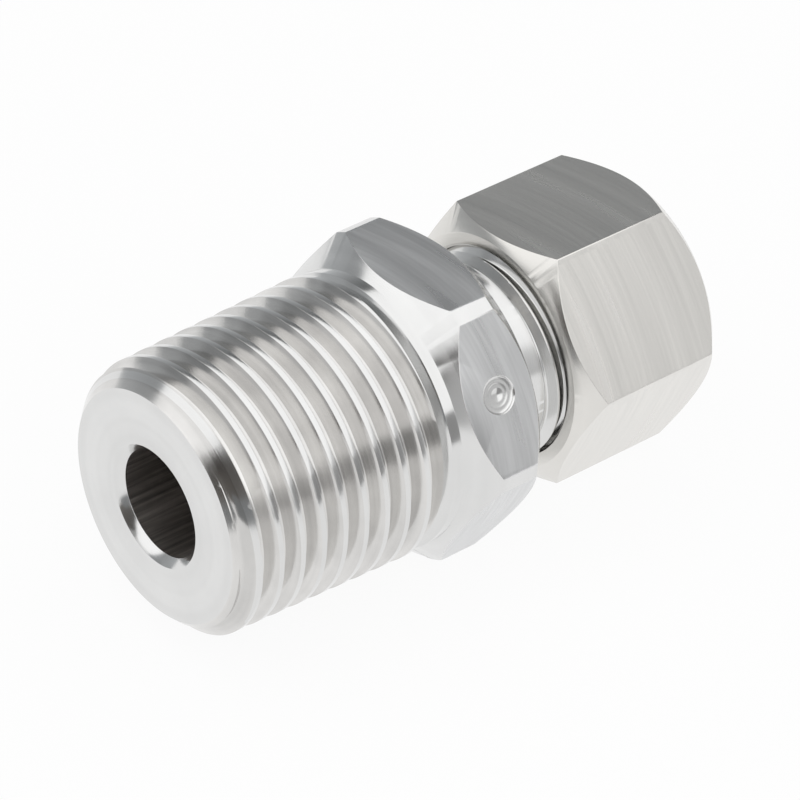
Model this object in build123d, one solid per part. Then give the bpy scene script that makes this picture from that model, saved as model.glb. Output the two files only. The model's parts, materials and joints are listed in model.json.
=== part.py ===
"""Compression fitting for an 8 mm probe: a body with a tapered pipe thread, a cutting ring and a nut.

Every piece is made round its own Z axis, with the threaded end face of the body at height 0 and the nut
above it, and is then laid down on a flat of the body's hexagon, with the threaded end towards -X.
"""
from build123d import *
import math
import os

# Probe and the bores it passes through
probe_diameter = 8.0
body_bore_clearance = 0.05
ring_bore_clearance = 0.1
nut_bore_clearance = 0.2

# Tapered pipe thread, 14 to the inch, flanks at 55 degrees
pitch = 1.8143
gauge_diameter = 20.955
gauge_length = 8.2
taper_on_diameter = 1 / 16
flank_angle = 55.0
truncated_share = 1 / 6
crest_trim = 0.12
pipe_thread_length = 17.3
lead_in_turns = 0.51
cutter_overshoot = 0.3
end_chamfer_depth = 1.35
end_chamfer_angle = 45.0
bore_mouth_chamfer = 0.6

# Run-out groove and collar between the pipe thread and the hexagon
runout_depth = 0.1
runout_floor = 0.32
runout_ramp_angle = 60.0
collar_below_crest = 0.14
collar_length = 0.85

# Body hexagon, milled on a round bar, with a spot mark on one flat
hexagon_sides = 6
bar_over_collar = 2.0
flat_below_bar = 1.4
hexagon_chamfer_angle = 45.0
land_length = 3.1
shoulder_inset = 0.15
spot_diameter = 2.8
spot_depth = 0.2
spot_cone_depth = 0.12
spot_side = 240.0

# Neck and the thread that carries the nut
neck_below_thread = 0.75
neck_length = 3.7
nut_thread_diameter = 15.9
thread_start_step = 0.13
thread_start_length = 0.4
nut_thread_length = 7.0
body_end_chamfer = 0.8

# Socket for the ring, a cone of 24 degrees
socket_half_angle = 12.0
socket_flare = 1.0

# Cutting ring
ring_nose_wall = 0.3
ring_tail_wall = 0.6
ring_collar_rise = 1.0
ring_collar_length = 1.4
ring_seat_angle = 45.0
seat_clearance = 0.05
ring_body_gap = 0.3

# Nut, milled from hexagon bar
nut_wall = 1.5
nut_length = 13.2
nut_turned_from_body = 6.27
nut_front_chamfer_angle = 38.5
nut_front_face_inset = 0.45
nut_rear_chamfer_angle = 43.0
nut_rear_face_inset = 0.3
nut_thread_clearance = 0.05
nut_mouth_bevel = 0.2
nut_end_wall = 6.03
nut_throat_clearance = 0.4
nut_hole_chamfer = 0.5


def tangent(degrees):
    return math.tan(math.radians(degrees))


# Pipe thread worked out from its standard
radial_taper = taper_on_diameter / 2
sharp_height = pitch / (2 * tangent(flank_angle / 2))
standard_truncation = sharp_height * truncated_share
crest_radius_at_face = (gauge_diameter - gauge_length * taper_on_diameter) / 2 - crest_trim
thread_depth = sharp_height - 2 * standard_truncation - crest_trim
crest_flat = 2 * (standard_truncation + crest_trim) * tangent(flank_angle / 2)
root_flat = 2 * standard_truncation * tangent(flank_angle / 2)


def crest_radius(height):
    return crest_radius_at_face + height * radial_taper


# Body, from the threaded end face up
body_bore_radius = probe_diameter / 2 + body_bore_clearance
end_face_radius = crest_radius_at_face - end_chamfer_depth
runout_radius = crest_radius(pipe_thread_length) - thread_depth - runout_depth
collar_radius = crest_radius(pipe_thread_length) - collar_below_crest
ramp_start = pipe_thread_length + runout_floor
collar_start = ramp_start + (collar_radius - runout_radius) / tangent(runout_ramp_angle)
hexagon_start = collar_start + collar_length
bar_radius = collar_radius + bar_over_collar
body_flat = bar_radius - flat_below_bar
land_start = hexagon_start + bar_over_collar * tangent(hexagon_chamfer_angle)
land_end = land_start + land_length
shoulder_radius = body_flat - shoulder_inset
shoulder_height = land_end + (bar_radius - shoulder_radius) * tangent(hexagon_chamfer_angle)
flat_middle = (land_start + land_end) / 2
nut_thread_radius = nut_thread_diameter / 2
neck_radius = nut_thread_radius - neck_below_thread
neck_end = shoulder_height + neck_length
body_end = neck_end + nut_thread_length
socket_mouth_radius = body_bore_radius + socket_flare
socket_start = body_end - socket_flare / tangent(socket_half_angle)


def socket_radius(height):
    return body_bore_radius + (height - socket_start) * tangent(socket_half_angle)


# Ring, seated in the socket
ring_bore_radius = probe_diameter / 2 + ring_bore_clearance
nose_radius = ring_bore_radius + ring_nose_wall
nose_height = socket_start + (nose_radius + seat_clearance - body_bore_radius) / tangent(socket_half_angle)
ring_tail_radius = ring_bore_radius + ring_tail_wall
ring_collar_radius = ring_tail_radius + ring_collar_rise
ring_collar_start = body_end + ring_body_gap
ring_collar_end = ring_collar_start + ring_collar_length
ring_end = ring_collar_end + ring_collar_rise / tangent(ring_seat_angle)

# Nut, seated on the ring's tail cone
nut_bore_radius = nut_thread_radius + nut_thread_clearance
nut_hole_radius = probe_diameter / 2 + nut_bore_clearance
throat_radius = ring_collar_radius + nut_throat_clearance
throat_start = ring_collar_start
seat_shift = seat_clearance / math.sin(math.radians(ring_seat_angle))
seat_start = ring_collar_end + seat_shift - nut_throat_clearance / tangent(ring_seat_angle)
seat_end = seat_start + (throat_radius - nut_hole_radius) / tangent(ring_seat_angle)
nut_rear = seat_start + nut_end_wall
nut_front = nut_rear - nut_length
nut_flat = nut_bore_radius + nut_wall
nut_corner_radius = nut_flat / math.cos(math.pi / hexagon_sides)
nut_front_radius = nut_flat - nut_front_face_inset
nut_rear_radius = nut_flat - nut_rear_face_inset
nut_front_corner = nut_front + (nut_corner_radius - nut_front_radius) * tangent(nut_front_chamfer_angle)
nut_rear_corner = nut_rear - (nut_corner_radius - nut_rear_radius) * tangent(nut_rear_chamfer_angle)

# The whole lies on a flat of the body's hexagon, centred over the origin
lying_down = Pos(-nut_rear / 2, 0, body_flat) * Rot(0, 90, 0)


def turned(points):
    """A solid turned about Z from (radius, height) points."""
    outline = Plane.XZ * Polyline(*points, close=True)
    return revolve(make_face(outline), axis=Axis.Z)


def hexagon_bar(flat, low, high):
    """A hexagon prism about Z with one flat facing +X, at that distance from the axis."""
    section = RegularPolygon(flat, hexagon_sides, major_radius=False, rotation=180 / hexagon_sides)
    return Pos(0, 0, low) * extrude(section, high - low)


def pipe_thread_groove():
    """One thread groove cut along the taper, from before the end face into the run-out."""
    lead_in = lead_in_turns * pitch
    groove_end = collar_start - (pitch - crest_flat) / 2
    path = Helix(
        pitch=pitch,
        height=groove_end + lead_in,
        radius=crest_radius(-lead_in),
        center=(0, 0, -lead_in),
        cone_angle=math.degrees(math.atan(radial_taper)),
    )
    half_root = root_flat / 2
    half_top = (pitch - crest_flat) / 2 + cutter_overshoot * tangent(flank_angle / 2)
    section = Plane(origin=path @ 0, x_dir=(1, 0, 0), z_dir=(0, -1, 0)) * Polyline(
        (cutter_overshoot, -half_top),
        (cutter_overshoot, half_top),
        (-thread_depth, half_root),
        (-thread_depth, -half_root),
        close=True,
    )
    return sweep(make_face(section), path=path, is_frenet=True)


def end_chamfer():
    """What is turned off the thread's first edge, as a ring that reaches past the face and the crests."""
    past = end_chamfer_depth
    outline = [
        (end_face_radius - past * tangent(end_chamfer_angle), -past),
        (crest_radius_at_face + past, -past),
        (crest_radius_at_face + past, (end_chamfer_depth + past) / tangent(end_chamfer_angle)),
    ]
    return turned(outline)


def spot_mark():
    """The shallow round spot in the middle of one flat, a little deeper at its centre."""
    radius = spot_diameter / 2
    outline = [(0, 0), (radius, 0), (radius, -spot_depth), (0, -spot_depth - spot_cone_depth)]
    on_flat = Rot(0, 0, spot_side) * Pos(body_flat, 0, flat_middle) * Rot(0, 90, 0)
    return on_flat * turned(outline)


def fitting_body():
    blank = turned(
        [
            (body_bore_radius, bore_mouth_chamfer),
            (body_bore_radius + bore_mouth_chamfer, 0),
            (crest_radius_at_face, 0),
            (crest_radius(pipe_thread_length), pipe_thread_length),
            (runout_radius, pipe_thread_length),
            (runout_radius, ramp_start),
            (collar_radius, collar_start),
            (collar_radius, hexagon_start),
            (bar_radius, land_start),
            (bar_radius, land_end),
            (shoulder_radius, shoulder_height),
            (neck_radius, shoulder_height),
            (neck_radius, neck_end),
            (neck_radius + thread_start_step, neck_end),
            (nut_thread_radius, neck_end + thread_start_length),
            (nut_thread_radius, body_end - body_end_chamfer),
            (nut_thread_radius - body_end_chamfer, body_end),
            (socket_mouth_radius, body_end),
            (body_bore_radius, socket_start),
        ]
    )
    hexagon = hexagon_bar(body_flat, 0, body_end)
    return (blank & hexagon) - pipe_thread_groove() - end_chamfer() - spot_mark()


def cutting_ring():
    return turned(
        [
            (ring_bore_radius, nose_height),
            (nose_radius, nose_height),
            (socket_radius(body_end) - seat_clearance, body_end),
            (ring_collar_radius, ring_collar_start),
            (ring_collar_radius, ring_collar_end),
            (ring_tail_radius, ring_end),
            (ring_bore_radius, ring_end),
        ]
    )


def compression_nut():
    blank = turned(
        [
            (nut_bore_radius + nut_mouth_bevel, nut_front),
            (nut_front_radius, nut_front),
            (nut_corner_radius, nut_front_corner),
            (nut_corner_radius, nut_rear_corner),
            (nut_rear_radius, nut_rear),
            (nut_hole_radius + nut_hole_chamfer, nut_rear),
            (nut_hole_radius, nut_rear - nut_hole_chamfer),
            (nut_hole_radius, seat_end),
            (throat_radius, seat_start),
            (throat_radius, throat_start),
            (nut_bore_radius, throat_start),
            (nut_bore_radius, nut_front + nut_mouth_bevel),
        ]
    )
    hexagon = hexagon_bar(nut_flat, nut_front, nut_rear)
    return Rot(0, 0, -nut_turned_from_body) * (blank & hexagon)


os.makedirs("parts", exist_ok=True)
pieces = {
    "fitting_body": fitting_body(),
    "cutting_ring": cutting_ring(),
    "compression_nut": compression_nut(),
}
for name, piece in pieces.items():
    export_step(lying_down * piece, f"parts/{name}.step")
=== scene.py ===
"""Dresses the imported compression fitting: its threads, milled flats, steel, the studio and the camera."""
import functools
import json
import math

import bmesh
import bpy
import numpy as np
from mathutils import Matrix, Vector


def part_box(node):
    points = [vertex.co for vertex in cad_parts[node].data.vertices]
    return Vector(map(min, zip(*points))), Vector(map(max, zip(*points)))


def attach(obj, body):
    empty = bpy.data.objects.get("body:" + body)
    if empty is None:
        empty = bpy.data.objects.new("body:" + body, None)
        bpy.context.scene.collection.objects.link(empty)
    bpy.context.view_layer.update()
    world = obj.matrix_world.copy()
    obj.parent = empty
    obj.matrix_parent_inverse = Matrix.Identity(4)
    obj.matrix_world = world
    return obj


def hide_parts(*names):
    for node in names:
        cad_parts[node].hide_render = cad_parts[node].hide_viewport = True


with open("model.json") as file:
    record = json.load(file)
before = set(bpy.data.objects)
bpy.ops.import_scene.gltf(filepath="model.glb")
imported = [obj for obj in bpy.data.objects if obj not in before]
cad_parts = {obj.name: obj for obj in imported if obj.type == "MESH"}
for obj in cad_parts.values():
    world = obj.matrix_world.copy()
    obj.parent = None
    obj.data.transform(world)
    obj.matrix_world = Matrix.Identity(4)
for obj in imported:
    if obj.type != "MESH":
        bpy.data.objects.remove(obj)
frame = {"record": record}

bl_info = {
    "name": "Probe Compression Fitting",
    "version": (1, 0, 0),
    "blender": (4, 5, 0),
    "location": "View3D > Sidebar > Fitting",
    "description": "Builds the finished pieces of a compression fitting on its frame, with a small studio",
    "category": "Object",
}

MM = 0.001
AXIS_HEIGHT = next(m for m in frame["record"]["mounts"] if m["name"] == "probe_bore")["pos_m"][2]
FACE_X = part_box("fitting_body")[0].x
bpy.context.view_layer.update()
# Material slots of a piece
TURNED, MILLED, BORE, SPOT, FLANK = range(5)
# Directions round the axis are angles from +Y, and a quarter turn is up
SIXTH = math.pi / 3
BODY_FIRST_FLAT = SIXTH / 2
# Fineness of the meshes
TURN_STEP = math.radians(1.5)
EASE_STEPS = 2
THREAD_EASE_STEPS = 3
SHARP_ANGLE = math.radians(32)
MERGE_DISTANCE = 2e-8
# Turned steel: how much the colour varies, spacing of its rings and their height
TURNED_MARKS = (0.12, 0.16 * MM, 0.0022 * MM)
FLANK_MARKS = (0.30, 0.09 * MM, 0.0035 * MM)
NUT_MARKS = (0.12, 0.12 * MM, 0.0016 * MM)
RING_MARKS = (0.12, 0.10 * MM, 0.0015 * MM)
# Milled steel: how much the colour varies, and the height, spacing and centre of its arcs
BODY_FLAT_SWING = 0.20
NUT_FLAT_SWING = 0.09
MILLING_RELIEF = 0.006 * MM
MILLING_FEED = 0.35 * MM
CUTTER_ALONG = -22 * MM
CUTTER_ACROSS = 2 * MM
# Steel of the bore: how much the colour varies, and the height of its scratches
BORE_SWING = 0.5
BORE_RELIEF = 0.004 * MM
# How much the roughness varies
GLOSS_SWING = 0.05
BORE_GLOSS_SWING = 0.1


def length(name, millimetres, description):
    """A length property, given in millimetres and kept in metres."""
    return bpy.props.FloatProperty(
        name=name, description=description, default=millimetres * MM, unit="LENGTH", precision=5
    )


def angle(name, degrees, description):
    """An angle property, given in degrees and kept in radians."""
    default = math.radians(degrees)
    return bpy.props.FloatProperty(name=name, description=description, default=default, unit="ROTATION")


def share(name, default, description):
    """A property between 0 and 1."""
    return bpy.props.FloatProperty(
        name=name, description=description, default=default, min=0, max=1, subtype="FACTOR"
    )


def number(name, default, description):
    """A plain number."""
    return bpy.props.FloatProperty(name=name, description=description, default=default)


def colour(name, default, description):
    """A colour property."""
    return bpy.props.FloatVectorProperty(
        name=name, description=description, default=default, size=3, subtype="COLOR", min=0, max=1
    )


class FITTING_PG_body(bpy.types.PropertyGroup):
    """Sizes of the body, measured from its threaded end face."""

    bore_radius: length("Bore radius", 4.05, "Half the width of the probe bore")
    mouth_chamfer: length("Bore mouth", 0.6, "Chamfer where the bore meets the end face")
    face_radius: length("End face radius", 8.751, "Outer edge of the flat end face")
    face_chamfer_angle: angle("End chamfer", 45, "Angle of the end chamfer from the axis")
    pipe_pitch: length("Pipe thread pitch", 1.8143, "Distance from crest to crest")
    pipe_crest_radius: length("Crest radius", 10.10125, "Crest radius of the pipe thread at the end face")
    pipe_taper: number("Taper", 1 / 32, "Growth of the crest radius along the pipe thread")
    pipe_depth: length("Pipe thread depth", 1.0417, "Depth of the pipe thread")
    pipe_flank: angle("Pipe flank", 27.5, "Angle of a flank from square to the axis")
    pipe_crest_flat: length("Crest flat", 0.4273, "Width of the flat on a crest")
    pipe_crest_ease: length("Crest ease", 0.02, "Rounding of the edges of a crest")
    pipe_root_ease: length("Root ease", 0.12, "Rounding of the edges of the groove")
    pipe_length: length("Pipe thread length", 17.3, "Length of the pipe thread")
    pipe_start: length("Pipe thread start", -0.9253, "Height of the first groove on the side that faces down")
    runout_radius: length("Run-out radius", 9.5, "Radius of the groove behind the thread")
    runout_floor: length("Run-out floor", 0.32, "Width of the floor of that groove")
    ramp_angle: angle("Run-out ramp", 60, "Angle of the ramp up to the collar")
    collar_radius: length("Collar radius", 10.5019, "Radius of the collar before the hexagon")
    collar_length: length("Collar length", 0.85, "Length of the collar")
    apothem: length("Half across flats", 11.1018, "Distance from the axis to a flat")
    bar_radius: length("Bar radius", 12.5018, "Radius of the round bar that the hexagon is milled on")
    land_length: length("Land length", 3.1, "Length of the hexagon between its chamfers")
    shoulder_inset: length("Shoulder inset", 0.15, "How far the rear chamfer reaches inside the flats")
    neck_radius: length("Neck radius", 7.2, "Radius of the relief behind the nut's thread")
    neck_length: length("Neck length", 3.7, "Length of that relief")
    nut_thread_radius: length("Nut thread radius", 7.95, "Crest radius of the thread that carries the nut")
    nut_thread_step: length("Thread step", 0.13, "Small step where that thread starts")
    nut_thread_lead: length("Thread lead", 0.4, "Length of the slope where that thread starts")
    nut_thread_length: length("Nut thread length", 7.0, "Length of that thread")
    nut_thread_depth: length("Nut thread depth", 0.68, "Depth of that thread")
    nut_thread_flank: angle("Nut thread flank", 30, "Angle of its flanks from square to the axis")
    nut_thread_pitch: length("Nut thread pitch", 1.5, "Distance from crest to crest of that thread")
    nut_crest_flat: length("Nut thread flat", 0.1875, "Width of the flat on its crests")
    nut_crest_ease: length("Nut thread crest ease", 0.03, "Rounding of the edges of its crests")
    nut_root_ease: length("Nut thread root ease", 0.15, "Rounding of the edges of its groove")
    end_chamfer: length("Nut end chamfer", 0.8, "Chamfer at the nut's end of the body")
    socket_flare: length("Socket flare", 1.0, "How much wider than the bore the ring's socket opens")
    socket_angle: angle("Socket angle", 12, "Half angle of the ring's socket")
    spot_radius: length("Spot radius", 1.4, "Radius of the round spot on one flat")
    spot_depth: length("Spot depth", 0.2, "Depth of the spot at its edge")
    spot_cone: length("Spot cone", 0.12, "How much deeper the spot is in its middle")
    edge_ease: length("Edge ease", 0.05, "Rounding of the edges")
    corner_ease: length("Corner ease", 0.012, "Easing where the flats meet the round bar")


class FITTING_PG_nut(bpy.types.PropertyGroup):
    """Sizes of the nut."""

    bore_radius: length("Thread bore", 8.0, "Radius of the nut's threaded bore")
    mouth_bevel: length("Mouth bevel", 0.2, "Bevel where the nut goes over the body")
    apothem: length("Half across flats", 9.5, "Distance from the axis to a flat")
    corner_ease: length("Corner ease", 0.12, "Rounding of the six long corners")
    turn: angle("Turn", 6.27, "How far the nut is turned from the body's flats")
    front_inset: length("Front inset", 0.45, "How far the front chamfer reaches inside the flats")
    front_angle: angle("Front chamfer", 38.5, "Angle of the front chamfer from square to the axis")
    rear_inset: length("Rear inset", 0.3, "How far the rear chamfer reaches inside the flats")
    rear_angle: angle("Rear chamfer", 43, "Angle of the rear chamfer from square to the axis")
    hole_radius: length("Probe hole", 4.2, "Radius of the hole that the probe leaves by")
    hole_chamfer: length("Hole chamfer", 0.5, "Chamfer of that hole at the rear face")
    throat_radius: length("Throat radius", 6.1, "Radius of the room for the ring")
    end_wall: length("End wall", 6.03, "From the start of the ring's seat to the rear face")
    throat_length: length("Throat length", 1.071, "Length of the room for the ring")
    edge_ease: length("Edge ease", 0.06, "Rounding of the edges")


class FITTING_PG_ring(bpy.types.PropertyGroup):
    """Sizes of the cutting ring."""

    bore_radius: length("Bore radius", 4.1, "Half the width of the ring's bore")
    nose_wall: length("Nose wall", 0.3, "Thickness of the ring at its nose")
    body_radius: length("Cone end radius", 5.0, "Radius where the cone ends")
    collar_radius: length("Collar radius", 5.7, "Largest radius of the ring")
    collar_length: length("Collar length", 1.4, "Length at that radius")
    tail_radius: length("Tail radius", 4.7, "Radius at the ring's tail")
    gap: length("Gap", 0.3, "From the end of the cone to the collar")
    edge_ease: length("Edge ease", 0.05, "Rounding of the edges")


class FITTING_PG_finish(bpy.types.PropertyGroup):
    """Colours and roughness of the steel."""

    steel: colour("Turned steel", (0.77, 0.77, 0.765), "Colour of the turned body")
    flank: colour("Thread flanks", (0.81, 0.80, 0.785), "Colour of the pipe thread between its crests")
    milled: colour("Milled steel", (0.76, 0.765, 0.77), "Colour of the body's milled flats")
    nut: colour("Nut steel", (0.80, 0.785, 0.755), "Colour of the nut")
    bore: colour("Bore steel", (0.74, 0.70, 0.67), "Colour inside the probe bore")
    turned_roughness: share("Turned roughness", 0.17, "Roughness of turned steel")
    milled_roughness: share("Milled roughness", 0.30, "Roughness of milled flats")
    nut_roughness: share("Nut roughness", 0.24, "Roughness of the nut")
    bore_roughness: share("Bore roughness", 0.38, "Roughness inside the bore")


class FITTING_PG_studio(bpy.types.PropertyGroup):
    """Camera, floor and light."""

    camera_place: bpy.props.FloatVectorProperty(
        name="Camera",
        description="Place of the camera",
        default=(-0.17781, -0.19719, 0.21527),
        size=3,
        unit="LENGTH",
    )
    heading: angle("Heading", 47.93, "Direction the camera looks in, from +X towards +Y")
    dip: angle("Dip", 37.64, "How far the camera looks down")
    roll: angle("Roll", 3.87, "Turn of the camera about its line of sight")
    focal_length: bpy.props.FloatProperty(
        name="Focal length", description="Lens of the camera", default=211.52, unit="CAMERA"
    )
    floor_colour: colour("Floor", (0.86, 0.86, 0.86), "Colour of the floor")
    floor_roughness: share("Floor roughness", 0.8, "Roughness of the floor")
    floor_size: length("Floor size", 6000, "Width of the floor")
    floor_seen: share("Floor seen", 0.93, "How white the floor is to the camera")
    floor_mirrored: share("Floor mirrored", 0.92, "How white the floor is in the steel")
    sky_strength: number("Sky", 0.6, "Brightness of the world as a light")
    softbox_strength: number("Softbox", 1.22, "Brightness of the light overhead")
    tent_radius: length("Tent radius", 800, "Distance of the panels")
    card_distance: length("Card distance", 130, "Distance of the low cards")
    card_height: length("Card height", 30, "Height of the low cards")


COOL = (0.95, 0.98, 1.0)
PLAIN = (1, 1, 1)
WARM = (1, 0.93, 0.87)
# Panels: name, first azimuth, elevation of the rim there, strength at the floor and at the rim, tint
PANELS = (
    ("front_reflector", -88, 13, 0.55, 0.95, PLAIN),
    ("right_front_wall", -66, 17, 0.55, 0.84, PLAIN),
    ("right_wall", -34, 40, 0.50, 0.30, PLAIN),
    ("back_right_wall", 24, 48, 0.60, 0.07, COOL),
    ("back_wall", 80, 43, 0.50, 0.24, COOL),
    ("back_left_wall", 128, 29, 0.20, 0.40, COOL),
    ("left_wall", 147, 25, 0.40, 0.85, PLAIN),
    ("left_end_wall", 174, 27, 0.60, 0.30, PLAIN),
    ("flag", 184, 30, 0.17, 0.06, WARM),
    ("camera_wall", 217, 31, 0.50, 0.50, PLAIN),
)
# Low cards that stand close behind the thread: name, first and last azimuth, strength
LOW_CARDS = (
    ("low_card_back", 122, 150, 0.42),
    ("low_card_left", 150, 176, 0.50),
    ("low_card_front", 202, 219, 0.24),
)
# Card beside the thread: first and last edge along the axis, place across it, foot, head, strength
SIDE_CARD = (0.002, 0.022, -0.052, 0.01, 0.03, 0.3)


def smooth_min(a, b, blend):
    """The smaller of two lengths, eased over a small width."""
    least = min(a, b)
    return least - blend * math.log(math.exp((least - a) / blend) + math.exp((least - b) / blend))


def from_flat(direction, first_flat):
    """Angle from the middle of the nearest flat, between -30 and 30 degrees, in radians."""
    return (direction - first_flat + SIXTH / 2) % SIXTH - SIXTH / 2


def eased(corners, radii, steps=EASE_STEPS):
    """Rounds the corners of a section; each corner gives steps + 1 points, or one where its radius is 0."""
    corners = [Vector(c) for c in corners]
    most = 0.45
    points = []
    for i, corner in enumerate(corners):
        if not radii[i]:
            points.append(tuple(corner))
            continue
        before = corners[i - 1] - corner
        after = corners[(i + 1) % len(corners)] - corner
        bend = math.pi - before.angle(after)
        reach = min(radii[i] * math.tan(bend / 2), most * before.length, most * after.length)
        start = corner + before.normalized() * reach
        end = corner + after.normalized() * reach
        for k in range(steps + 1):
            t = k / steps
            points.append(tuple(start * (1 - t) ** 2 + corner * 2 * t * (1 - t) + end * t ** 2))
    return points


def thread_turn(pitch, crest_flat, depth, flank, crest_ease, root_ease):
    """One pitch of thread as (height, depth under the crest), from the middle of one crest to the next."""
    slope = depth * math.tan(flank)
    corners = [
        (0, 0),
        (crest_flat / 2, 0),
        (crest_flat / 2 + slope, depth),
        (pitch - crest_flat / 2 - slope, depth),
        (pitch - crest_flat / 2, 0),
        (pitch, 0),
    ]
    return eased(corners, (0, crest_ease, root_ease, root_ease, crest_ease, 0), THREAD_EASE_STEPS)[:-1]


def thread_rows(turn, pitch, crest_radius, first_crest, low, high, envelope, direction):
    """(radius, height) points of a thread at one angle, clipped to an envelope between two heights."""
    lead = pitch * direction / math.tau
    turns = math.ceil((high - low) / pitch) + 3
    rows = []
    for k in range(turns):
        for height, depth in turn:
            z = first_crest + lead + k * pitch + height
            rows.append([crest_radius(z) - depth, z])
    over = [r - envelope(z) for r, z in rows]
    for i in range(len(rows) - 1):
        if over[i] * over[i + 1] < 0:
            t = over[i] / (over[i] - over[i + 1])
            z = rows[i][1] + t * (rows[i + 1][1] - rows[i][1])
            near = i if t < 0.5 else i + 1
            if low < z < high:
                rows[near] = [envelope(z), z]
    clipped = []
    for i, (r, z) in enumerate(rows):
        if z < low:
            edge = low
            j = next(n for n in range(i, len(rows)) if rows[n][1] >= low)
        elif z > high:
            edge = high
            j = next(n for n in range(i, 0, -1) if rows[n - 1][1] <= high)
        else:
            clipped.append((min(r, envelope(z)), z))
            continue
        (r0, z0), (r1, z1) = rows[j - 1], rows[j]
        t = (edge - z0) / (z1 - z0) if z1 != z0 else 0
        clipped.append((min(r0 + t * (r1 - r0), envelope(edge)), edge))
    return clipped


def directions(step, special):
    """Angles round the axis: even steps, with the special ones in place of their nearest neighbours."""
    even = [step * i for i in range(round(math.tau / step))]
    special = sorted(a % math.tau for a in special)
    too_near = 0.45 * step

    def apart(a, b):
        return abs((a - b + math.pi) % math.tau - math.pi)

    kept = [a for a in even if all(apart(a, b) > too_near for b in special)]
    return sorted(kept + special)


def lathe(name, around, sections, finishes, threads=()):
    """A closed mesh from one section per direction.

    A thread is (first row, last row, rows a turn). Where the last direction meets the first, it moves on by
    one turn.
    """
    sections = np.array(sections)
    count, rows = sections.shape[:2]
    turn = np.array(around)[:, None]
    radius, height = sections[..., 0], sections[..., 1]
    points = np.stack([FACE_X + height, radius * np.cos(turn), AXIS_HEIGHT + radius * np.sin(turn)], axis=2)
    flat = points.reshape(-1, 3)
    keys = np.round(flat / MERGE_DISTANCE).astype(np.int64)
    _, first, merged = np.unique(keys, axis=0, return_index=True, return_inverse=True)
    index = merged.reshape(count, rows)
    ahead = np.arange(rows)
    for first_row, last_row, shift in threads:
        inside = (ahead >= first_row) & (ahead <= last_row)
        ahead = np.where(inside, np.minimum(ahead + shift, last_row), ahead)
    faces, slots = [], []
    for c in range(count):
        here = index[c]
        there = index[c + 1] if c + 1 < count else index[0][ahead]
        for i in range(rows):
            j = (i + 1) % rows
            loop = list(dict.fromkeys((here[i], here[j], there[j], there[i])))
            if len(loop) > 2:
                faces.append(loop)
                slots.append(finishes(i, around[c]))
    mesh = bpy.data.meshes.new(name)
    mesh.from_pydata(flat[first].tolist(), [], faces)
    mesh.polygons.foreach_set("material_index", slots)
    work = bmesh.new()
    work.from_mesh(mesh)
    bmesh.ops.recalc_face_normals(work, faces=work.faces)
    work.to_mesh(mesh)
    work.free()
    piece = bpy.data.objects.new(name, mesh)
    bpy.context.scene.collection.objects.link(piece)
    return piece


def dress(piece, node, body, materials):
    """Smooths a piece's shading, gives it its materials and sets it on its body in place of a node."""
    for material in materials:
        piece.data.materials.append(material)
    piece.data.polygons.foreach_set("use_smooth", [True] * len(piece.data.polygons))
    piece.data.set_sharp_from_angle(angle=SHARP_ANGLE)
    weighted = piece.modifiers.new("Weighted normals", "WEIGHTED_NORMAL")
    weighted.keep_sharp = True
    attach(piece, body)
    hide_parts(node)


def body_heights(s):
    """Heights along the body, from the threaded end face."""
    h = {}
    h["ramp"] = s.pipe_length + s.runout_floor
    h["collar"] = h["ramp"] + (s.collar_radius - s.runout_radius) / math.tan(s.ramp_angle)
    h["hexagon"] = h["collar"] + s.collar_length
    h["land"] = h["hexagon"] + s.bar_radius - s.collar_radius
    h["land_end"] = h["land"] + s.land_length
    h["shoulder"] = h["land_end"] + s.bar_radius - s.apothem + s.shoulder_inset
    h["neck_end"] = h["shoulder"] + s.neck_length
    h["end"] = h["neck_end"] + s.nut_thread_length
    h["socket"] = h["end"] - s.socket_flare / math.tan(s.socket_angle)
    return h


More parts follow.
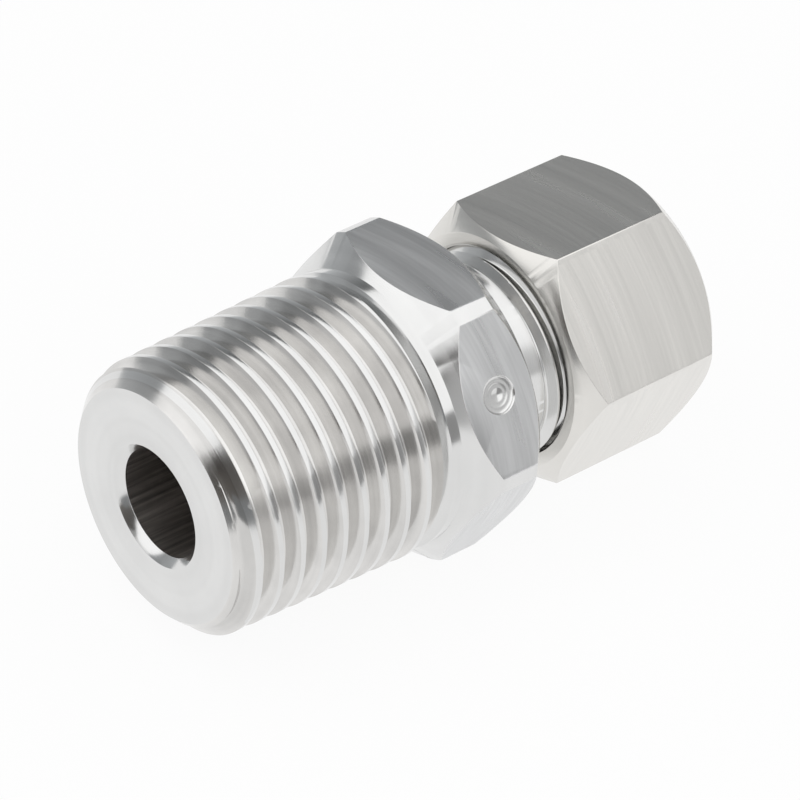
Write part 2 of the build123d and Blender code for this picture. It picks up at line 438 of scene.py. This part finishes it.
def body_section(s, direction, pipe_turn, nut_turn):
    """The body's closed section at one direction, with the rows of its threads and the row of its flats."""
    h = body_heights(s)
    crest_slope = math.tan(s.face_chamfer_angle)

    def end_chamfer(z):
        return s.face_radius + z * crest_slope

    def pipe_crests(z):
        return s.pipe_crest_radius + z * s.pipe_taper

    def nut_crests(z):
        return s.nut_thread_radius

    def nut_ends(z):
        start = s.neck_radius + s.nut_thread_step
        rise = (s.nut_thread_radius - start) / s.nut_thread_lead
        return min(start + (z - h["neck_end"]) * rise, s.nut_thread_radius - s.end_chamfer + h["end"] - z)

    ease = s.edge_ease
    mouth = eased(
        [
            (s.bore_radius, h["socket"]),
            (s.bore_radius, s.mouth_chamfer),
            (s.bore_radius + s.mouth_chamfer, 0),
            (s.face_radius, 0),
        ],
        (0, ease, ease, 0),
    )
    # The groove starts underneath; at direction 0 it is a quarter pitch on, and a crest half a pitch further
    pipe_crest = s.pipe_start + s.pipe_pitch / 4 + s.pipe_pitch / 2 - 2 * s.pipe_pitch
    pipe = thread_rows(
        pipe_turn, s.pipe_pitch, pipe_crests, pipe_crest, 0, s.pipe_length, end_chamfer, direction
    )
    hexagon_radius = s.apothem / math.cos(from_flat(direction, BODY_FIRST_FLAT))
    top = smooth_min(hexagon_radius, s.bar_radius, s.corner_ease)
    middle = eased(
        [
            pipe[-1],
            (s.runout_radius, s.pipe_length),
            (s.runout_radius, h["ramp"]),
            (s.collar_radius, h["collar"]),
            (s.collar_radius, h["hexagon"]),
            (top, h["hexagon"] + top - s.collar_radius),
            (top, h["land_end"] + s.bar_radius - top),
            (s.apothem - s.shoulder_inset, h["shoulder"]),
            (s.neck_radius, h["shoulder"]),
            (s.neck_radius, h["neck_end"]),
            (s.neck_radius + s.nut_thread_step, h["neck_end"]),
        ],
        (0, 3 * ease, 3 * ease, ease, ease, ease, ease, ease, 3 * ease, ease, 0),
    )
    pitch = s.nut_thread_pitch
    nut = thread_rows(
        nut_turn, pitch, nut_crests, h["neck_end"] - 2 * pitch, h["neck_end"], h["end"], nut_ends, direction
    )
    socket_mouth = (s.bore_radius + s.socket_flare, h["end"])
    end = eased([nut[-1], socket_mouth, (s.bore_radius, h["socket"])], (0, ease, 0))
    section = mouth[:-1] + pipe + middle[1:-1] + nut + end[1:-1]
    pipe_from = len(mouth) - 1
    pipe_end = pipe_from + len(pipe) - 1
    nut_from = pipe_end + len(middle) - 1
    threads = (
        (pipe_from, pipe_end, len(pipe_turn)),
        (nut_from, nut_from + len(nut) - 1, len(nut_turn)),
    )
    # The flats start at the end of the fifth corner after the pipe thread
    flat_row = pipe_end + 5 * (EASE_STEPS + 1)
    return section, threads, flat_row


class FITTING_OT_body(bpy.types.Operator):
    """Makes the threaded body with its hexagon, neck and bore"""

    bl_idname = "fitting.body"
    bl_label = "Body"

    def execute(self, context):
        s = context.scene.fitting_body
        pipe = (s.pipe_pitch, s.pipe_crest_flat, s.pipe_depth, s.pipe_flank)
        nut = (s.nut_thread_pitch, s.nut_crest_flat, s.nut_thread_depth, s.nut_thread_flank)
        pipe_turn = thread_turn(*pipe, s.pipe_crest_ease, s.pipe_root_ease)
        nut_turn = thread_turn(*nut, s.nut_crest_ease, s.nut_root_ease)
        land_angle = math.acos(s.apothem / s.bar_radius)
        beside_the_edge = [math.radians(offset) for offset in (-0.5, -0.15, 0.15, 0.5)]
        special = [
            BODY_FIRST_FLAT + k * math.tau / 6 + side * land_angle + offset
            for k in range(6)
            for side in (-1, 1)
            for offset in beside_the_edge
        ]
        around = directions(TURN_STEP, special)
        parts = [body_section(s, a, pipe_turn, nut_turn) for a in around]
        sections = [section for section, _, _ in parts]
        _, threads, flat_row = parts[0]
        first_row, last_row, turn_rows = threads[0]
        bore_rows = (0, len(sections[0]) - 1)
        crest_rows = (0, turn_rows - 1)

        def finishes(row, direction):
            if row in bore_rows:
                return BORE
            if first_row <= row < last_row and (row - first_row) % turn_rows not in crest_rows:
                return FLANK
            if row == flat_row and abs(from_flat(direction, BODY_FIRST_FLAT)) < land_angle:
                return MILLED
            return TURNED

        body = lathe("threaded_body", around, sections, finishes, threads)
        h = body_heights(s)
        self.cut_spot(s, body, BODY_FIRST_FLAT + 2 * SIXTH, (h["land"] + h["land_end"]) / 2)
        f = context.scene.fitting_finish
        materials = [
            turned_steel("turned_steel", f.steel, f.turned_roughness, TURNED_MARKS),
            milled_steel("milled_steel", f.milled, BODY_FLAT_SWING, f.milled_roughness, BODY_FIRST_FLAT),
            bore_steel("bore_steel", f.bore, f.bore_roughness),
            turned_steel("spot_steel", f.steel, f.turned_roughness, TURNED_MARKS),
            turned_steel("flank_steel", f.flank, f.turned_roughness, FLANK_MARKS),
        ]
        dress(body, "fitting_body", "body", materials)
        return {"FINISHED"}

    def cut_spot(self, s, body, direction, height):
        """Opens a round hole in the flat that faces the camera and lines it with the shallow spot."""
        outward = Vector((0, math.cos(direction), math.sin(direction)))
        across = Vector((0, -math.sin(direction), math.cos(direction)))
        centre = Vector((FACE_X + height, 0, AXIS_HEIGHT)) + outward * s.apothem
        work = bmesh.new()
        work.from_mesh(body.data)
        square = 0.9999
        flat = [f for f in work.faces if f.material_index == MILLED and f.normal.dot(outward) > square]
        edges = set(e for f in flat for e in f.edges)
        boundary = [e for e in edges if sum(f in flat for f in e.link_faces) == 1]
        bmesh.ops.delete(work, geom=flat, context="FACES_KEEP_BOUNDARY")
        # Shares of the spot's radius and depth: a steep wall, then a shallow cone with two fine rings
        wall = [(1.0, 0.0), (0.98, 0.12), (0.93, 0.85), (0.88, 1.0)]
        cone = [(0.70, 1.05), (0.66, 1.01), (0.60, 1.1), (0.42, 1.22), (0.38, 1.19), (0.32, 1.3), (0.1, 1.5)]
        along = Vector((1, 0, 0))
        segments = 64
        loops = []
        for share_of_radius, share_of_depth in wall + cone:
            radius = s.spot_radius * share_of_radius
            floor = centre - outward * s.spot_depth * share_of_depth
            loop = []
            for k in range(segments):
                a = math.tau * k / segments
                loop.append(work.verts.new(floor + (along * math.cos(a) + across * math.sin(a)) * radius))
            loops.append(loop)
        rim = [work.edges.new((loops[0][k], loops[0][(k + 1) % segments])) for k in range(segments)]
        filled = bmesh.ops.triangle_fill(work, edges=boundary + rim, use_dissolve=False, use_beauty=True)
        around_spot = [f for f in filled["geom"] if isinstance(f, bmesh.types.BMFace)]
        inside = [f for f in around_spot if all(v in loops[0] for v in f.verts)]
        bmesh.ops.delete(work, geom=inside, context="FACES_ONLY")
        for f in around_spot:
            if f.is_valid:
                f.material_index = MILLED
        for outer, inner in zip(loops, loops[1:]):
            for k in range(segments):
                n = (k + 1) % segments
                face = work.faces.new((outer[k], outer[n], inner[n], inner[k]))
                face.material_index = SPOT
        middle = work.verts.new(centre - outward * (s.spot_depth + s.spot_cone))
        for k in range(segments):
            face = work.faces.new((loops[-1][k], loops[-1][(k + 1) % segments], middle))
            face.material_index = SPOT
        bmesh.ops.recalc_face_normals(work, faces=work.faces)
        work.to_mesh(body.data)
        work.free()


class FITTING_OT_nut(bpy.types.Operator):
    """Makes the hexagon nut"""

    bl_idname = "fitting.nut"
    bl_label = "Nut"

    def execute(self, context):
        s = context.scene.fitting_nut
        low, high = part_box("compression_nut")
        front, rear = low.x - FACE_X, high.x - FACE_X
        seat = rear - s.end_wall
        first_flat = math.tau / 4 - s.turn
        half = SIXTH / 2
        centre = (s.apothem - s.corner_ease) / math.cos(half)
        tangent = math.atan(centre * math.sin(half) / s.apothem)

        def hexagon_radius(direction):
            off = from_flat(direction, first_flat)
            if abs(off) < tangent:
                return s.apothem / math.cos(off)
            off = half - abs(off)
            return centre * math.cos(off) + math.sqrt(s.corner_ease ** 2 - (centre * math.sin(off)) ** 2)

        front_radius = s.apothem - s.front_inset
        rear_radius = s.apothem - s.rear_inset

        def section(direction):
            edge = hexagon_radius(direction)
            corners = [
                (s.bore_radius, front + s.mouth_bevel),
                (s.bore_radius + s.mouth_bevel, front),
                (front_radius, front),
                (edge, front + (edge - front_radius) * math.tan(s.front_angle)),
                (edge, rear - (edge - rear_radius) * math.tan(s.rear_angle)),
                (rear_radius, rear),
                (s.hole_radius + s.hole_chamfer, rear),
                (s.hole_radius, rear - s.hole_chamfer),
                (s.hole_radius, seat + s.throat_radius - s.hole_radius),
                (s.throat_radius, seat),
                (s.throat_radius, seat - s.throat_length),
                (s.bore_radius, seat - s.throat_length),
            ]
            return eased(corners, [s.edge_ease] * len(corners))

        special = [
            first_flat + half + k * math.tau / 6 + offset * (half - tangent)
            for k in range(6)
            for offset in (-1, -0.5, 0, 0.5, 1)
        ]
        around = directions(TURN_STEP, special)
        sections = [section(a) for a in around]
        # The flats start at the end of the fourth corner
        flat_row = 4 * (EASE_STEPS + 1) - 1

        def finishes(row, direction):
            if row == flat_row and abs(from_flat(direction, first_flat)) < tangent:
                return MILLED
            return TURNED

        nut = lathe("hexagon_nut", around, sections, finishes)
        f = context.scene.fitting_finish
        materials = [
            turned_steel("nut_turned_steel", f.nut, f.nut_roughness, NUT_MARKS),
            milled_steel("nut_flat_steel", f.nut, NUT_FLAT_SWING, f.nut_roughness, first_flat),
        ]
        dress(nut, "compression_nut", "nut", materials)
        return {"FINISHED"}


class FITTING_OT_ring(bpy.types.Operator):
    """Makes the cutting ring inside the nut"""

    bl_idname = "fitting.ring"
    bl_label = "Cutting ring"

    def execute(self, context):
        s = context.scene.fitting_ring
        low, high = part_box("cutting_ring")
        nose, tail = low.x - FACE_X, high.x - FACE_X
        collar_end = tail - (s.collar_radius - s.tail_radius)
        collar = collar_end - s.collar_length
        corners = [
            (s.bore_radius, nose),
            (s.bore_radius + s.nose_wall, nose),
            (s.body_radius, collar - s.gap),
            (s.collar_radius, collar),
            (s.collar_radius, collar_end),
            (s.tail_radius, tail),
            (s.bore_radius, tail),
        ]
        section = eased(corners, [s.edge_ease] * len(corners))
        around = directions(2 * TURN_STEP, [])
        ring = lathe("cutting_ring_finished", around, [section] * len(around), lambda row, direction: TURNED)
        f = context.scene.fitting_finish
        material = turned_steel("ring_steel", f.steel, f.nut_roughness, RING_MARKS)
        dress(ring, "cutting_ring", "ring", [material])
        return {"FINISHED"}


def feed(tree, sockets, inputs):
    """Gives each socket its input, which is a number or another socket."""
    for socket, given in zip(sockets, inputs):
        if isinstance(given, bpy.types.NodeSocket):
            tree.links.new(given, socket)
        else:
            socket.default_value = given


def value(tree, operation, *inputs):
    """Output of a maths node."""
    node = tree.nodes.new("ShaderNodeMath")
    node.operation = operation
    feed(tree, node.inputs, inputs)
    return node.outputs[0]


def join(tree, *inputs):
    """A vector from three inputs."""
    node = tree.nodes.new("ShaderNodeCombineXYZ")
    feed(tree, node.inputs, inputs)
    return node.outputs[0]


def noise(tree, vector, scale, detail=2.0, roughness=0.5):
    """Noise between about 0 and 1 at a vector."""
    node = tree.nodes.new("ShaderNodeTexNoise")
    node.inputs["Scale"].default_value = scale
    node.inputs["Detail"].default_value = detail
    node.inputs["Roughness"].default_value = roughness
    tree.links.new(vector, node.inputs["Vector"])
    return node.outputs["Fac"]


def spread(tree, given, low, high, to_low, to_high):
    """Maps one range to another, clamped."""
    node = tree.nodes.new("ShaderNodeMapRange")
    tree.links.new(given, node.inputs["Value"])
    limits = {"From Min": low, "From Max": high, "To Min": to_low, "To Max": to_high}
    for name, limit in limits.items():
        node.inputs[name].default_value = limit
    return node.outputs["Result"]


def group(name, inputs, outputs):
    """An empty shader group with inputs of given kinds and float outputs."""
    tree = bpy.data.node_groups.new(name, "ShaderNodeTree")
    for socket_name, kind in inputs:
        tree.interface.new_socket(socket_name, in_out="INPUT", socket_type=kind)
    for socket_name in outputs:
        tree.interface.new_socket(socket_name, in_out="OUTPUT", socket_type="NodeSocketFloat")
    return tree, tree.nodes.new("NodeGroupInput"), tree.nodes.new("NodeGroupOutput")


def distance(tree, x, y):
    """Length of a line with two given legs."""
    squares = value(tree, "ADD", value(tree, "MULTIPLY", x, x), value(tree, "MULTIPLY", y, y))
    return value(tree, "SQRT", squares)


@functools.cache
def around_axis():
    """Group: place along the axis, distance from it and the direction round it."""
    tree, given, result = group(
        "Around the axis", [("Position", "NodeSocketVector")], ("Along", "Radius", "Direction")
    )
    split = tree.nodes.new("ShaderNodeSeparateXYZ")
    tree.links.new(given.outputs["Position"], split.inputs[0])
    up = value(tree, "SUBTRACT", split.outputs["Z"], AXIS_HEIGHT)
    out = split.outputs["Y"]
    tree.links.new(split.outputs["X"], result.inputs["Along"])
    tree.links.new(distance(tree, up, out), result.inputs["Radius"])
    tree.links.new(value(tree, "ARCTAN2", up, out), result.inputs["Direction"])
    return tree


def use(tree, node_group, **inputs):
    """Places a group in a tree and feeds it. Gives the node."""
    node = tree.nodes.new("ShaderNodeGroup")
    node.node_tree = node_group
    feed(tree, [node.inputs[name.replace("_", " ")] for name in inputs], inputs.values())
    return node


@functools.cache
def turning_marks():
    """Group: fine rings round the axis, as a turning tool leaves them."""
    tree, given, result = group(
        "Turning marks",
        [("Position", "NodeSocketVector"), ("Spacing", "NodeSocketFloat")],
        ("Height", "Bands"),
    )
    axis = use(tree, around_axis(), Position=given.outputs["Position"])
    along = value(tree, "DIVIDE", axis.outputs["Along"], given.outputs["Spacing"])
    out = value(tree, "DIVIDE", axis.outputs["Radius"], given.outputs["Spacing"])
    drift = value(tree, "SINE", axis.outputs["Direction"])
    place = join(tree, along, out, drift)
    rings = noise(tree, place, scale=0.5, detail=3, roughness=0.7)
    bands = noise(tree, place, scale=0.08, detail=2, roughness=0.6)
    tree.links.new(rings, result.inputs["Height"])
    tree.links.new(spread(tree, bands, 0.3, 0.7, 0, 1), result.inputs["Bands"])
    return tree


@functools.cache
def flat_place():
    """Group: place along and across the nearest flat of a hexagon."""
    tree, given, result = group(
        "Place on a flat",
        [("Position", "NodeSocketVector"), ("First flat", "NodeSocketFloat")],
        ("Along", "Across", "Side"),
    )
    axis = use(tree, around_axis(), Position=given.outputs["Position"])
    past_first = value(tree, "SUBTRACT", axis.outputs["Direction"], given.outputs["First flat"])
    sides = value(tree, "DIVIDE", past_first, SIXTH)
    side = value(tree, "ROUND", sides)
    off = value(tree, "MULTIPLY", value(tree, "SUBTRACT", sides, side), SIXTH)
    across = value(tree, "MULTIPLY", axis.outputs["Radius"], value(tree, "SINE", off))
    tree.links.new(axis.outputs["Along"], result.inputs["Along"])
    tree.links.new(across, result.inputs["Across"])
    tree.links.new(side, result.inputs["Side"])
    return tree


@functools.cache
def milling_marks():
    """Group: shallow arcs across a flat, as a face cutter leaves them."""
    inputs = ("Along", "Across", "Side", "Cutter along", "Cutter across", "Feed")
    tree, given, result = group(
        "Milling marks", [(name, "NodeSocketFloat") for name in inputs], ("Height", "Bands")
    )
    x = value(tree, "SUBTRACT", given.outputs["Along"], given.outputs["Cutter along"])
    y = value(tree, "SUBTRACT", given.outputs["Across"], given.outputs["Cutter across"])
    turn = value(tree, "ARCTAN2", y, x)
    rings = value(tree, "DIVIDE", distance(tree, x, y), given.outputs["Feed"])
    fine = join(tree, rings, value(tree, "MULTIPLY", turn, 3), given.outputs["Side"])
    broad = join(tree, value(tree, "MULTIPLY", rings, 0.2), turn, given.outputs["Side"])
    arcs = noise(tree, fine, scale=1, detail=2, roughness=0.6)
    bands = noise(tree, broad, scale=1, detail=2, roughness=0.5)
    tree.links.new(arcs, result.inputs["Height"])
    tree.links.new(spread(tree, bands, 0.3, 0.7, 0, 1), result.inputs["Bands"])
    return tree


@functools.cache
def clouds():
    """Group: soft uneven patches, from handling and washing."""
    tree, given, result = group(
        "Handling", [("Position", "NodeSocketVector"), ("Scale", "NodeSocketFloat")], ("Patches",)
    )
    node = tree.nodes.new("ShaderNodeTexNoise")
    node.inputs["Detail"].default_value = 4
    tree.links.new(given.outputs["Position"], node.inputs["Vector"])
    tree.links.new(given.outputs["Scale"], node.inputs["Scale"])
    tree.links.new(spread(tree, node.outputs["Fac"], 0.3, 0.7, 0, 1), result.inputs["Patches"])
    return tree


def steel(name, tint, tint_swing, roughness, roughness_swing, relief):
    """A steel material, with its tree, its object coordinates and a function that wires in its marks."""
    material = bpy.data.materials.new(name)
    material.use_nodes = True
    tree = material.node_tree
    shader = tree.nodes["Principled BSDF"]
    shader.inputs["Metallic"].default_value = 1
    place = tree.nodes.new("ShaderNodeTexCoord").outputs["Object"]

    def wire(height, shade, gloss):
        mix = tree.nodes.new("ShaderNodeMix")
        mix.data_type = "RGBA"
        mix.inputs["A"].default_value = (*(c * (1 - tint_swing) for c in tint), 1)
        mix.inputs["B"].default_value = (*tint, 1)
        tree.links.new(shade, mix.inputs["Factor"])
        tree.links.new(mix.outputs["Result"], shader.inputs["Base Color"])
        varied = spread(tree, gloss, 0, 1, roughness - roughness_swing, roughness + roughness_swing)
        tree.links.new(varied, shader.inputs["Roughness"])
        bump = tree.nodes.new("ShaderNodeBump")
        bump.inputs["Strength"].default_value = 1
        bump.inputs["Distance"].default_value = relief
        tree.links.new(height, bump.inputs["Height"])
        tree.links.new(bump.outputs["Normal"], shader.inputs["Normal"])

    return material, tree, place, wire


def turned_steel(name, tint, roughness, marks):
    """Steel with fine rings from turning."""
    swing, spacing, relief = marks
    material, tree, place, wire = steel(name, tint, swing, roughness, GLOSS_SWING, relief)
    rings = use(tree, turning_marks(), Position=place, Spacing=spacing)
    patches = use(tree, clouds(), Position=place, Scale=260)
    handled = value(tree, "MULTIPLY", patches.outputs["Patches"], 0.4)
    shade = value(tree, "MULTIPLY_ADD", rings.outputs["Bands"], 0.6, handled)
    wire(rings.outputs["Height"], shade, rings.outputs["Bands"])
    return material


def milled_steel(name, tint, swing, roughness, first_flat):
    """Steel with the arcs of a face cutter on each flat."""
    material, tree, place, wire = steel(name, tint, swing, roughness, GLOSS_SWING, MILLING_RELIEF)
    flat = use(tree, flat_place(), Position=place, First_flat=first_flat)
    marks = use(
        tree,
        milling_marks(),
        Along=flat.outputs["Along"],
        Across=flat.outputs["Across"],
        Side=flat.outputs["Side"],
        Cutter_along=CUTTER_ALONG,
        Cutter_across=CUTTER_ACROSS,
        Feed=MILLING_FEED,
    )
    arcs = spread(tree, marks.outputs["Height"], 0.35, 0.65, 0, 1)
    shade = value(tree, "MULTIPLY_ADD", marks.outputs["Bands"], 0.5, value(tree, "MULTIPLY", arcs, 0.5))
    wire(marks.outputs["Height"], shade, marks.outputs["Bands"])
    return material


def bore_steel(name, tint, roughness):
    """Drilled steel with scratches along the bore."""
    material, tree, place, wire = steel(name, tint, BORE_SWING, roughness, BORE_GLOSS_SWING, BORE_RELIEF)
    axis = use(tree, around_axis(), Position=place)
    along = value(tree, "MULTIPLY", axis.outputs["Along"], 90)
    around = value(tree, "MULTIPLY", axis.outputs["Direction"], 12)
    scratches = noise(tree, join(tree, along, around, 0), scale=1, detail=3, roughness=0.6)
    wire(scratches, spread(tree, scratches, 0.35, 0.65, 0, 1), scratches)
    return material


def rays(tree):
    """Whether a ray comes from the camera, and whether it was mirrored or refracted."""
    path = tree.nodes.new("ShaderNodeLightPath")
    bent = value(tree, "MAXIMUM", path.outputs["Is Glossy Ray"], path.outputs["Is Transmission Ray"])
    return path.outputs["Is Camera Ray"], bent


def glow(name, low_strength, high_strength, top, tint=PLAIN):
    """A material that only glows, from one strength at the floor to another at a height."""
    material = bpy.data.materials.new(name)
    material.use_nodes = True
    tree = material.node_tree
    tree.nodes.remove(tree.nodes["Principled BSDF"])
    light = tree.nodes.new("ShaderNodeEmission")
    light.inputs["Color"].default_value = (*tint, 1)
    split = tree.nodes.new("ShaderNodeSeparateXYZ")
    tree.links.new(tree.nodes.new("ShaderNodeNewGeometry").outputs["Position"], split.inputs[0])
    strength = spread(tree, split.outputs["Z"], 0, top, low_strength, high_strength)
    tree.links.new(strength, light.inputs["Strength"])
    tree.links.new(light.outputs[0], tree.nodes["Material Output"].inputs["Surface"])
    return material


def sheet(name, points, faces, material, lights):
    """A sheet of the studio. The camera doesn't see it, it throws no shadow, and it may light the floor."""
    mesh = bpy.data.meshes.new(name)
    mesh.from_pydata(points, [], faces)
    mesh.materials.append(material)
    piece = bpy.data.objects.new(name, mesh)
    bpy.context.scene.collection.objects.link(piece)
    piece.visible_camera = False
    piece.visible_shadow = False
    piece.visible_diffuse = lights


def seen_at(azimuth, elevation, distance):
    """The point that the fitting sees in a direction, given in degrees from +X and from level."""
    turn, rise = math.radians(azimuth), math.radians(elevation)
    out = distance * math.cos(rise)
    return (out * math.cos(turn), out * math.sin(turn), distance * math.sin(rise))


class FITTING_OT_studio(bpy.types.Operator):
    """Makes the floor, the light overhead, the cards around and the camera"""

    bl_idname = "fitting.studio"
    bl_label = "Studio"

    def execute(self, context):
        s = context.scene.fitting_studio
        self.floor(s)
        self.tent(s)
        self.low_cards(s)
        self.world(context, s)
        self.camera(context, s)
        context.scene.view_settings.view_transform = "Standard"
        return {"FINISHED"}

    def tent(self, s):
        """Panels all round, and the softbox that covers them. Panels named wall light the floor too."""
        rim = []
        step = 10
        for i, (name, azimuth, elevation, low, high, tint) in enumerate(PANELS):
            next_azimuth, next_elevation = PANELS[(i + 1) % len(PANELS)][1:3]
            if next_azimuth < azimuth:
                next_azimuth += 360
            steps = math.ceil((next_azimuth - azimuth) / step)
            low_edge = []
            high_edge = []
            for k in range(steps + 1):
                t = k / steps
                a = azimuth + t * (next_azimuth - azimuth)
                low_edge.append(seen_at(a, 0, s.tent_radius))
                high_edge.append(seen_at(a, elevation + t * (next_elevation - elevation), s.tent_radius))
            faces = [(k, k + 1, steps + 2 + k, steps + 1 + k) for k in range(steps)]
            top = s.tent_radius * math.sin(math.radians(max(elevation, next_elevation)))
            sheet(name, low_edge + high_edge, faces, glow(name, low, high, top, tint), name.endswith("wall"))
            rim += high_edge[:-1]
        faces = [(k, (k + 1) % len(rim), len(rim)) for k in range(len(rim))]
        lamp = glow("softbox", s.softbox_strength, s.softbox_strength, s.tent_radius)
        sheet("softbox", rim + [(0, 0, s.tent_radius)], faces, lamp, True)

    def low_cards(self, s):
        """Grey cards that the thread mirrors: some on the floor behind it, and one beside it."""
        one_face = [(0, 1, 2, 3)]
        for name, first, last, strength in LOW_CARDS:
            foot = [seen_at(a, 0, s.card_distance) for a in (first, last)]
            head = [(x, y, s.card_height) for x, y, z in reversed(foot)]
            sheet(name, foot + head, one_face, glow(name, strength, strength, s.card_height, COOL), False)
        first, last, side, low, high, strength = SIDE_CARD
        corners = [(first, side, low), (last, side, low), (last, side, high), (first, side, high)]
        sheet("side_card", corners, one_face, glow("side_card", strength, strength, high), False)

    def floor(self, s):
        """A pale floor that keeps the shadow, and is nearly white to the camera and in the steel."""
        mesh = bpy.data.meshes.new("floor")
        half = s.floor_size / 2
        corners = [(-half, -half, 0), (half, -half, 0), (half, half, 0), (-half, half, 0)]
        mesh.from_pydata(corners, [], [(0, 1, 2, 3)])
        material = bpy.data.materials.new("floor")
        material.use_nodes = True
        tree = material.node_tree
        shader = tree.nodes["Principled BSDF"]
        shader.inputs["Base Color"].default_value = (*s.floor_colour, 1)
        shader.inputs["Roughness"].default_value = s.floor_roughness
        shader.inputs["Specular IOR Level"].default_value = 0
        white = tree.nodes.new("ShaderNodeEmission")
        direct, bent = rays(tree)
        mix = tree.nodes.new("ShaderNodeMixShader")
        direct = value(tree, "MULTIPLY", direct, s.floor_seen)
        bent = value(tree, "MULTIPLY", bent, s.floor_mirrored)
        tree.links.new(value(tree, "MAXIMUM", direct, bent), mix.inputs[0])
        tree.links.new(shader.outputs[0], mix.inputs[1])
        tree.links.new(white.outputs[0], mix.inputs[2])
        tree.links.new(mix.outputs[0], tree.nodes["Material Output"].inputs["Surface"])
        mesh.materials.append(material)
        floor = bpy.data.objects.new("floor", mesh)
        bpy.context.scene.collection.objects.link(floor)

    def world(self, context, s):
        """A world that is white to the camera and in the steel, and a soft light elsewhere."""
        world = bpy.data.worlds.new("studio")
        world.use_nodes = True
        tree = world.node_tree
        sky = tree.nodes["Background"]
        seen = value(tree, "MAXIMUM", *rays(tree))
        tree.links.new(spread(tree, seen, 0, 1, s.sky_strength, 1), sky.inputs["Strength"])
        sky.inputs["Color"].default_value = (1, 1, 1, 1)
        context.scene.world = world

    def camera(self, context, s):
        """The camera, turned from level by its heading, dip and roll."""
        ahead = Vector((math.cos(s.heading), math.sin(s.heading), 0))
        forward = ahead * math.cos(s.dip) - Vector((0, 0, math.sin(s.dip)))
        level = Vector((math.sin(s.heading), -math.cos(s.heading), 0))
        upright = level.cross(forward)
        right = level * math.cos(s.roll) + upright * math.sin(s.roll)
        up = upright * math.cos(s.roll) - level * math.sin(s.roll)
        data = bpy.data.cameras.new("camera")
        data.lens = s.focal_length
        data.clip_start = 0.01
        data.clip_end = 20
        camera = bpy.data.objects.new("camera", data)
        turned = Matrix((right, up, -forward)).transposed().to_4x4()
        camera.matrix_world = Matrix.Translation(s.camera_place) @ turned
        context.scene.collection.objects.link(camera)
        context.scene.camera = camera


class FITTING_PT_panel(bpy.types.Panel):
    """Lists the pieces and their sizes"""

    bl_label = "Compression fitting"
    bl_idname = "FITTING_PT_panel"
    bl_space_type = "VIEW_3D"
    bl_region_type = "UI"
    bl_category = "Fitting"

    def draw(self, context):
        for operator in OPERATORS:
            self.layout.operator(operator.bl_idname)
        for name in GROUPS:
            box = self.layout.box()
            box.label(text=name.replace("fitting_", "").capitalize())
            settings = getattr(context.scene, name)
            for field in settings.bl_rna.properties.keys():
                if field not in {"rna_type", "name"}:
                    box.prop(settings, field)


GROUPS = {
    "fitting_body": FITTING_PG_body,
    "fitting_nut": FITTING_PG_nut,
    "fitting_ring": FITTING_PG_ring,
    "fitting_finish": FITTING_PG_finish,
    "fitting_studio": FITTING_PG_studio,
}
OPERATORS = (FITTING_OT_body, FITTING_OT_ring, FITTING_OT_nut, FITTING_OT_studio)


def register():
    """Adds the classes and their settings to Blender."""
    for item in (*GROUPS.values(), *OPERATORS, FITTING_PT_panel):
        bpy.utils.register_class(item)
    for name, item in GROUPS.items():
        setattr(bpy.types.Scene, name, bpy.props.PointerProperty(type=item))


def unregister():
    """Takes them away again."""
    for name in GROUPS:
        delattr(bpy.types.Scene, name)
    for item in (FITTING_PT_panel, *OPERATORS, *GROUPS.values()):
        bpy.utils.unregister_class(item)


def main():
    """Builds every piece and the studio."""
    register()
    bpy.ops.fitting.body()
    bpy.ops.fitting.ring()
    bpy.ops.fitting.nut()
    bpy.ops.fitting.studio()


if __name__ == "__main__":
    main()
